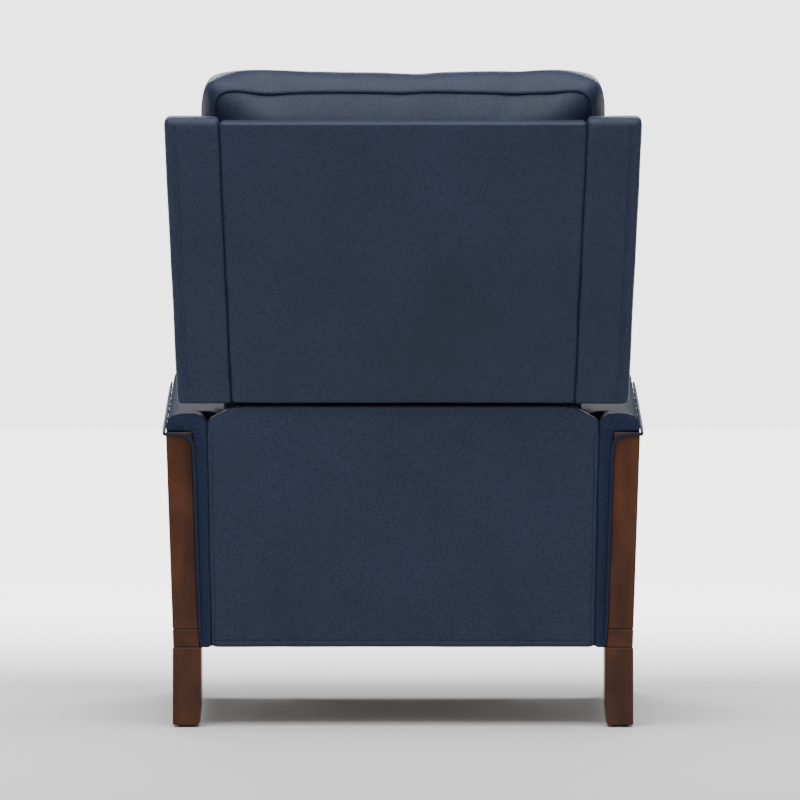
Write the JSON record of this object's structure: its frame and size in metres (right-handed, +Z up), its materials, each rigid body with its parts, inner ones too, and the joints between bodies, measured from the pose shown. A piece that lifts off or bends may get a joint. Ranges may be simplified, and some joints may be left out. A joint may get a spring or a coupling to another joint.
{
  "type": "recliner armchair",
  "caption": "Push-back recliner armchair: leather winged back and loose cushions, wooden side frames and legs, steel reclining and footrest linkages.",
  "frame": {"origin": "on the floor, at the middle of the object's outline seen from above", "axes": "+Z up, -Y towards the sitter's front, X across with its left and right halves mirrored"},
  "size_m": [0.8302, 0.8913, 1.0428],
  "materials": {
    "leather": "satin navy leather over foam",
    "welt_leather": "satin navy piping",
    "walnut": "dark walnut stain, satin lacquer",
    "plywood": "raw plywood and timber",
    "steel": "black painted steel plate",
    "webbing": "woven elastic webbing",
    "nylon": "moulded nylon"
  },
  "bodies": {
    "base": {"rear_panel": "leather", "middle_cross_rail": "plywood", "rear_cross_rail": "plywood", "arm_body_left": "leather", "arm_body_right": "leather", "arm_back_strip_left": "leather", "arm_back_strip_right": "leather", "arm_pad_left": "leather", "arm_pad_right": "leather", "arm_welt_left": "welt_leather", "arm_welt_right": "welt_leather", "rear_post_left": "walnut", "rear_post_right": "walnut", "front_post_left": "walnut", "front_post_right": "walnut", "side_rail_left": "walnut", "side_rail_right": "walnut", "side_inset_panel_left": "leather", "side_inset_panel_right": "leather", "rear_leg_left": "walnut", "rear_leg_right": "walnut", "rear_glide_left": "nylon", "rear_glide_right": "nylon", "front_leg_left": "walnut", "front_leg_right": "walnut", "front_glide_left": "nylon", "front_glide_right": "nylon", "base_plate_left": "steel", "base_plate_right": "steel"},
    "back": {"back_panel": "leather", "back_frame": "plywood", "back_cushion": "leather", "wing_left": "leather", "wing_right": "leather", "back_bracket_left": "steel", "back_bracket_right": "steel"},
    "rear_swing_links": {"rear_swing_link_left": "steel", "rear_swing_link_right": "steel", "swing_torque_rod": "steel"},
    "front_swing_links": {"front_swing_link_left": "steel", "front_swing_link_right": "steel"},
    "seat": {"seat_plate_left": "steel", "seat_plate_right": "steel", "seat_frame": "plywood", "seat_webbing": "webbing", "seat_cushion": "leather"},
    "foot_upper_links": {"foot_link_upper_left": "steel", "foot_link_upper_right": "steel", "foot_torque_rod": "steel"},
    "foot_lower_links": {"foot_link_lower_left": "steel", "foot_link_lower_right": "steel"},
    "footrest": {"foot_bracket_left": "steel", "foot_bracket_right": "steel", "foot_board": "plywood", "foot_pad": "leather"}
  },
  "joints": [
    {"name": "back_recline", "type": "hinge", "parent": "base", "child": "back", "pos_m": [0, 0.293, 0.485], "axis": [-1, 0, 0], "range_deg": [0, 28]},
    {"name": "rear_swing", "type": "hinge", "parent": "base", "child": "rear_swing_links", "pos_m": [0, 0.1, 0.19], "axis": [1, 0, 0], "range_deg": [0, 34.97]},
    {"name": "front_swing", "type": "hinge", "parent": "base", "child": "front_swing_links", "pos_m": [0, -0.22, 0.19], "axis": [1, 0, 0], "range_deg": [0, 34.97]},
    {"name": "seat_hang", "type": "hinge", "parent": "rear_swing_links", "child": "seat", "pos_m": [0, 0.1375, 0.30924], "axis": [1, 0, 0], "range_deg": [-34.97, 0]},
    {"name": "footrest_extend", "type": "hinge", "parent": "seat", "child": "foot_upper_links", "pos_m": [0, -0.33, 0.322], "axis": [-1, 0, 0], "range_deg": [0, 138.85]},
    {"name": "foot_elbow", "type": "hinge", "parent": "foot_upper_links", "child": "foot_lower_links", "pos_m": [0, -0.0839, 0.2381], "axis": [-1, 0, 0], "range_deg": [-107.49, 0]},
    {"name": "foot_tip", "type": "hinge", "parent": "foot_lower_links", "child": "footrest", "pos_m": [0, -0.374, 0.215], "axis": [-1, 0, 0], "range_deg": [0, 58.63]}
  ],
  "couplings": [
    {"joint": "rear_swing", "follows": "back_recline", "ratio": 1.247},
    {"joint": "front_swing", "follows": "back_recline", "ratio": 1.247},
    {"joint": "seat_hang", "follows": "back_recline", "ratio": -1.247},
    {"joint": "foot_elbow", "follows": "footrest_extend", "ratio": -0.7738},
    {"joint": "foot_tip", "follows": "footrest_extend", "ratio": 0.4219}
  ]
}
